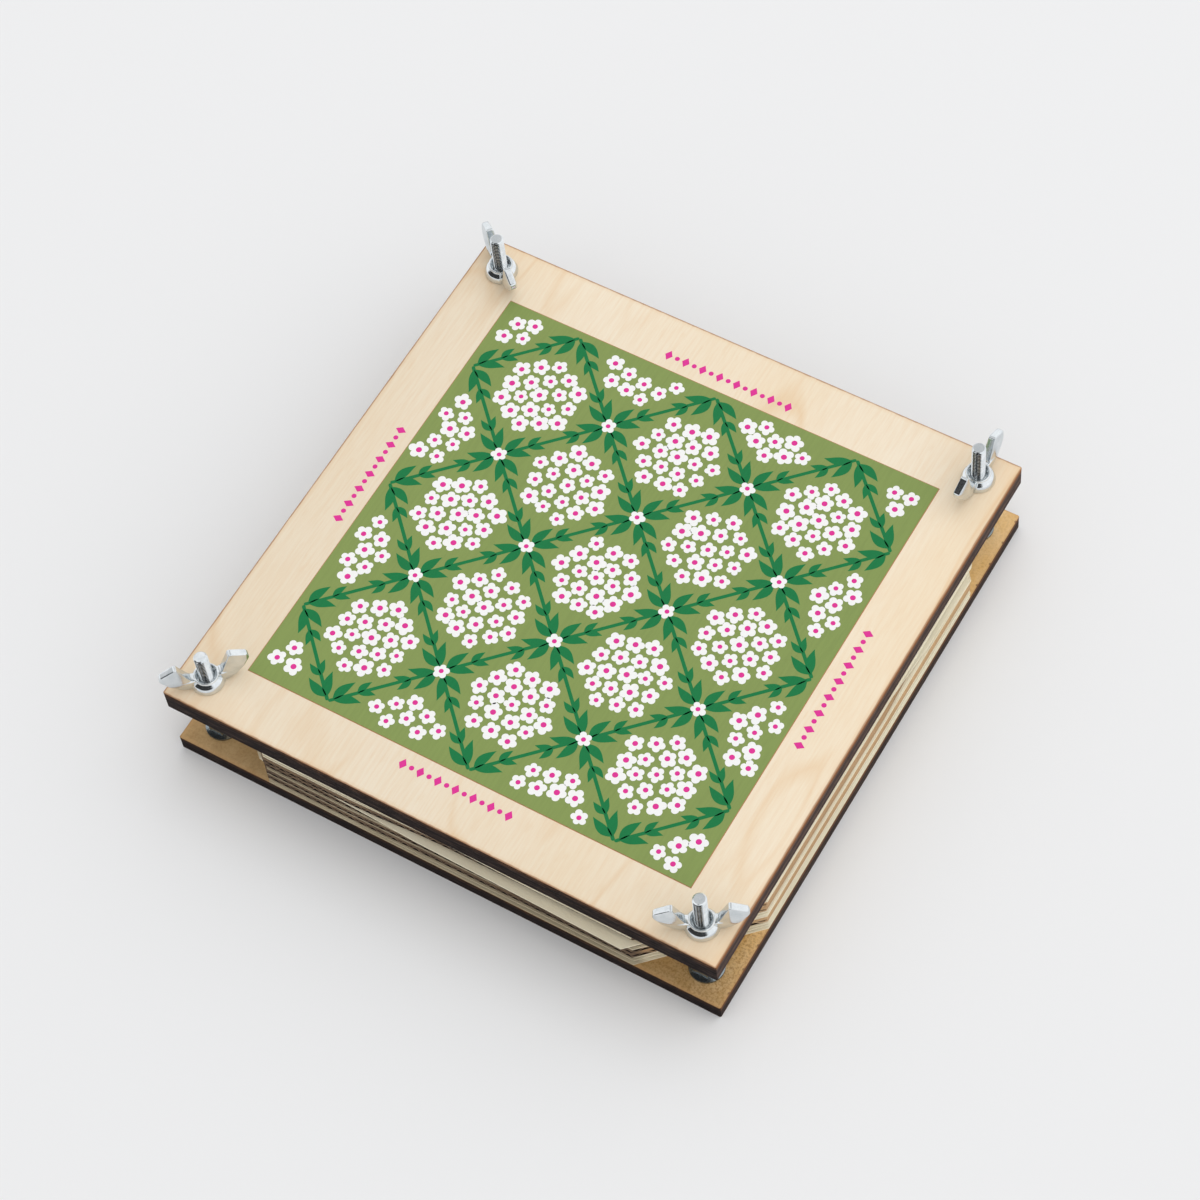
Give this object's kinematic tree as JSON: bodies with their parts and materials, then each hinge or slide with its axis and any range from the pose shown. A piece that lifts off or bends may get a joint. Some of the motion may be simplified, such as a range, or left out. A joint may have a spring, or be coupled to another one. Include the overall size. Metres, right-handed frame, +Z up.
{
  "type": "flower press",
  "caption": "Square plywood flower press: two boards drawn together by corner bolts with wing nuts over a pack of blotting sheets and corrugated cards.",
  "frame": {"origin": "middle of the square press at the height of the surface that it stands on", "axes": "+Z up through the boards, X and Y along the boards' edges, the front is the -Y side"},
  "size_m": [0.1737, 0.1758, 0.0455],
  "materials": {
    "birch_plywood": "sanded, unvarnished, with burnt laser-cut edges",
    "charred_plywood": "unvarnished, smoke-stained, with burnt laser-cut edges",
    "printed_ink": "matt printed ink film",
    "zinc_bolts": "bright zinc plating on rolled thread",
    "zinc_flange_nuts": "bright zinc plating",
    "zinc_wing_nuts": "bright zinc plating on a smooth casting",
    "corrugated_card": "brown kraft facings, cut edges with open flutes",
    "blotting_paper": "soft unsized cream paper"
  },
  "bodies": {
    "base": {"bottom_board": "charred_plywood", "bolt_front_left": "zinc_bolts", "bolt_front_right": "zinc_bolts", "bolt_back_right": "zinc_bolts", "bolt_back_left": "zinc_bolts", "flange_nut_front_left": "zinc_flange_nuts", "flange_nut_front_right": "zinc_flange_nuts", "flange_nut_back_right": "zinc_flange_nuts", "flange_nut_back_left": "zinc_flange_nuts"},
    "top_plate": {"top_board": "birch_plywood", "print_panel": "printed_ink"},
    "wing_nut_front_left": {"wing_nut_front_left": "zinc_wing_nuts"},
    "wing_nut_front_right": {"wing_nut_front_right": "zinc_wing_nuts"},
    "wing_nut_back_right": {"wing_nut_back_right": "zinc_wing_nuts"},
    "wing_nut_back_left": {"wing_nut_back_left": "zinc_wing_nuts"},
    "bottom_sheets": {"bottom_sheet_1": "blotting_paper", "bottom_sheet_2": "blotting_paper", "bottom_sheet_3": "blotting_paper", "bottom_sheet_4": "blotting_paper"},
    "card_1": {"card_1": "corrugated_card"},
    "lower_sheets": {"lower_sheet_1": "blotting_paper", "lower_sheet_2": "blotting_paper"},
    "card_2": {"card_2": "corrugated_card"},
    "middle_sheets": {"middle_sheet_1": "blotting_paper", "middle_sheet_2": "blotting_paper"},
    "card_3": {"card_3": "corrugated_card"},
    "upper_sheets": {"upper_sheet_1": "blotting_paper", "upper_sheet_2": "blotting_paper"},
    "card_4": {"card_4": "corrugated_card"},
    "top_sheets": {"top_sheet_1": "blotting_paper", "top_sheet_2": "blotting_paper", "top_sheet_3": "blotting_paper", "top_sheet_4": "blotting_paper"}
  },
  "joints": [
    {"name": "top_board_lift", "type": "slide", "parent": "base", "child": "top_plate", "axis": [0, 0, 1], "range_m": [0, 0.0084]},
    {"name": "front_left_nut_turn", "type": "hinge", "parent": "top_plate", "child": "wing_nut_front_left", "pos_m": [-0.0761, -0.0761, 0.0302], "axis": [0, 0, 1], "range_deg": [0, 4320]},
    {"name": "front_right_nut_turn", "type": "hinge", "parent": "top_plate", "child": "wing_nut_front_right", "pos_m": [0.0761, -0.0761, 0.0302], "axis": [0, 0, 1], "range_deg": [0, 4320]},
    {"name": "back_right_nut_turn", "type": "hinge", "parent": "top_plate", "child": "wing_nut_back_right", "pos_m": [0.0761, 0.0761, 0.0302], "axis": [0, 0, 1], "range_deg": [0, 4320]},
    {"name": "back_left_nut_turn", "type": "hinge", "parent": "top_plate", "child": "wing_nut_back_left", "pos_m": [-0.0761, 0.0761, 0.0302], "axis": [0, 0, 1], "range_deg": [0, 4320]},
    {"name": "bottom_sheets_rise", "type": "slide", "parent": "base", "child": "bottom_sheets", "axis": [0, 0, 1], "range_m": [0, 0.00084]},
    {"name": "card_1_rise", "type": "slide", "parent": "base", "child": "card_1", "axis": [0, 0, 1], "range_m": [0, 0.00168]},
    {"name": "lower_sheets_rise", "type": "slide", "parent": "base", "child": "lower_sheets", "axis": [0, 0, 1], "range_m": [0, 0.00252]},
    {"name": "card_2_rise", "type": "slide", "parent": "base", "child": "card_2", "axis": [0, 0, 1], "range_m": [0, 0.00336]},
    {"name": "middle_sheets_rise", "type": "slide", "parent": "base", "child": "middle_sheets", "axis": [0, 0, 1], "range_m": [0, 0.0042]},
    {"name": "card_3_rise", "type": "slide", "parent": "base", "child": "card_3", "axis": [0, 0, 1], "range_m": [0, 0.00504]},
    {"name": "upper_sheets_rise", "type": "slide", "parent": "base", "child": "upper_sheets", "axis": [0, 0, 1], "range_m": [0, 0.00588]},
    {"name": "card_4_rise", "type": "slide", "parent": "base", "child": "card_4", "axis": [0, 0, 1], "range_m": [0, 0.00672]},
    {"name": "top_sheets_rise", "type": "slide", "parent": "base", "child": "top_sheets", "axis": [0, 0, 1], "range_m": [0, 0.00756]}
  ],
  "couplings": [
    {"joint": "front_left_nut_turn", "follows": "top_board_lift", "rad_per_m": 8975.9},
    {"joint": "front_right_nut_turn", "follows": "top_board_lift", "rad_per_m": 8975.9},
    {"joint": "back_right_nut_turn", "follows": "top_board_lift", "rad_per_m": 8975.9},
    {"joint": "back_left_nut_turn", "follows": "top_board_lift", "rad_per_m": 8975.9},
    {"joint": "bottom_sheets_rise", "follows": "top_board_lift", "ratio": 0.1},
    {"joint": "card_1_rise", "follows": "top_board_lift", "ratio": 0.2},
    {"joint": "lower_sheets_rise", "follows": "top_board_lift", "ratio": 0.3},
    {"joint": "card_2_rise", "follows": "top_board_lift", "ratio": 0.4},
    {"joint": "middle_sheets_rise", "follows": "top_board_lift", "ratio": 0.5},
    {"joint": "card_3_rise", "follows": "top_board_lift", "ratio": 0.6},
    {"joint": "upper_sheets_rise", "follows": "top_board_lift", "ratio": 0.7},
    {"joint": "card_4_rise", "follows": "top_board_lift", "ratio": 0.8},
    {"joint": "top_sheets_rise", "follows": "top_board_lift", "ratio": 0.9}
  ]
}
